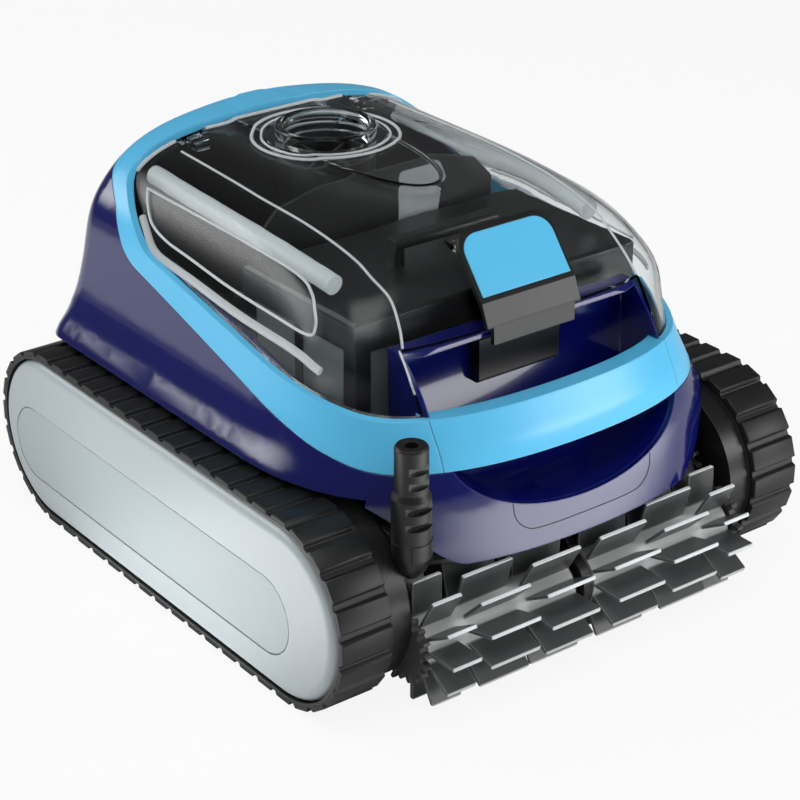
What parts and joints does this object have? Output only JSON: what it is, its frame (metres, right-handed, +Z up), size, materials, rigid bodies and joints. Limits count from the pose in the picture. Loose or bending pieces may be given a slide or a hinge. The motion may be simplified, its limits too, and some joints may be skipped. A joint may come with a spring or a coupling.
{
  "type": "robotic pool cleaner",
  "caption": "Tracked robotic pool cleaner with belt tracks, a paddle brush, a carry handle and a clear hinged lid over a filter, motor block and thrust outlet.",
  "frame": {"origin": "bottom centre of the bounding box, on the floor under the middle of the machine", "axes": "+Z up, the brush end faces -Y, the width runs along X"},
  "size_m": [0.3846, 0.4424, 0.28],
  "materials": {
    "navy_shell": "glossy moulded",
    "sky_trim": "satin gloss moulded",
    "black_plastic": "moulded",
    "black_rubber": "moulded rubber",
    "paddle_rubber": "grey moulded rubber",
    "grey_cover": "satin moulded",
    "grey_inlay": "satin moulded",
    "clear_lid": "clear polished",
    "filter_fabric": "fine mesh",
    "steel": "turned",
    "motor_metal": "painted",
    "board": "laminate",
    "bearing_plastic": "moulded"
  },
  "bodies": {
    "chassis": {"chassis_tray": "black_plastic", "body_shell": "navy_shell", "bezel_ring": "sky_trim", "carry_handle": "sky_trim", "handle_pocket": "navy_shell", "gland_arm": "black_plastic", "cable_gland": "black_rubber", "brush_hood": "black_plastic", "brush_bearing": "black_plastic", "brush_axle": "steel", "motor_casing": "black_plastic", "motor_casing_cover": "black_plastic", "casing_screws": "steel", "pump_motor": "motor_metal", "control_board": "board", "shaft_seal": "black_rubber", "pump_duct": "black_plastic", "filter_frame": "black_plastic", "filter_mesh": "filter_fabric", "filter_cover": "black_plastic", "flap_pin": "steel", "hinge_brackets": "black_plastic", "hinge_pins": "steel", "latch_keeper": "black_plastic", "left_track_frame": "black_plastic", "right_track_frame": "black_plastic", "left_track_belt": "black_rubber", "right_track_belt": "black_rubber", "left_side_cover": "grey_cover", "right_side_cover": "grey_cover", "left_cover_inlay": "grey_inlay", "right_cover_inlay": "grey_inlay", "left_wheel_bushes": "bearing_plastic", "right_wheel_bushes": "bearing_plastic", "left_drive_motor": "motor_metal", "right_drive_motor": "motor_metal"},
    "lid": {"lid_shell": "clear_lid", "outlet_collar": "clear_lid", "latch_pin": "steel"},
    "latch": {"latch_lever": "black_plastic", "latch_panel": "sky_trim"},
    "pump": {"pump_shaft": "steel", "propeller": "black_plastic"},
    "flap": {"intake_flap": "black_plastic"},
    "left_drive": {"left_drive_wheel": "bearing_plastic", "left_drive_shaft": "steel"},
    "left_front": {"left_front_wheel": "bearing_plastic", "left_front_shaft": "steel", "left_drive_gear": "bearing_plastic"},
    "left_brush": {"left_brush_core": "bearing_plastic", "left_brush_sleeve": "paddle_rubber", "left_brush_gear": "bearing_plastic"},
    "right_drive": {"right_drive_wheel": "bearing_plastic", "right_drive_shaft": "steel"},
    "right_front": {"right_front_wheel": "bearing_plastic", "right_front_shaft": "steel", "right_drive_gear": "bearing_plastic"},
    "right_brush": {"right_brush_core": "bearing_plastic", "right_brush_sleeve": "paddle_rubber", "right_brush_gear": "bearing_plastic"}
  },
  "joints": [
    {"name": "lid_hinge", "type": "hinge", "parent": "chassis", "child": "lid", "pos_m": [0, 0.1423, 0.264], "axis": [-1, 0, 0], "range_deg": [0, 48]},
    {"name": "latch_pivot", "type": "hinge", "parent": "lid", "child": "latch", "pos_m": [0, -0.1055, 0.2593], "axis": [-1, 0, 0], "range_deg": [0, 25], "stiffness_Nm_per_rad": 0.2, "springref_deg": -17.19},
    {"name": "propeller_spin", "type": "hinge", "parent": "chassis", "child": "pump", "pos_m": [0, 0.083, 0.22], "axis": [0, 0, 1], "continuous": true},
    {"name": "flap_hinge", "type": "hinge", "parent": "chassis", "child": "flap", "pos_m": [0, -0.0625, 0.0345], "axis": [1, 0, 0], "range_deg": [0, 60]},
    {"name": "left_drive_spin", "type": "hinge", "parent": "chassis", "child": "left_drive", "pos_m": [0, 0.156, 0.0652], "axis": [1, 0, 0], "continuous": true},
    {"name": "left_front_spin", "type": "hinge", "parent": "chassis", "child": "left_front", "pos_m": [0, -0.13, 0.0652], "axis": [1, 0, 0], "continuous": true},
    {"name": "left_brush_spin", "type": "hinge", "parent": "chassis", "child": "left_brush", "pos_m": [0, -0.179, 0.0435], "axis": [1, 0, 0], "continuous": true},
    {"name": "right_drive_spin", "type": "hinge", "parent": "chassis", "child": "right_drive", "pos_m": [0, 0.156, 0.0652], "axis": [1, 0, 0], "continuous": true},
    {"name": "right_front_spin", "type": "hinge", "parent": "chassis", "child": "right_front", "pos_m": [0, -0.13, 0.0652], "axis": [1, 0, 0], "continuous": true},
    {"name": "right_brush_spin", "type": "hinge", "parent": "chassis", "child": "right_brush", "pos_m": [0, -0.179, 0.0435], "axis": [1, 0, 0], "continuous": true}
  ],
  "couplings": [
    {"joint": "left_front_spin", "follows": "left_drive_spin", "ratio": 1},
    {"joint": "left_brush_spin", "follows": "left_drive_spin", "ratio": -1.3889},
    {"joint": "right_front_spin", "follows": "right_drive_spin", "ratio": 1},
    {"joint": "right_brush_spin", "follows": "right_drive_spin", "ratio": -1.3889}
  ]
}
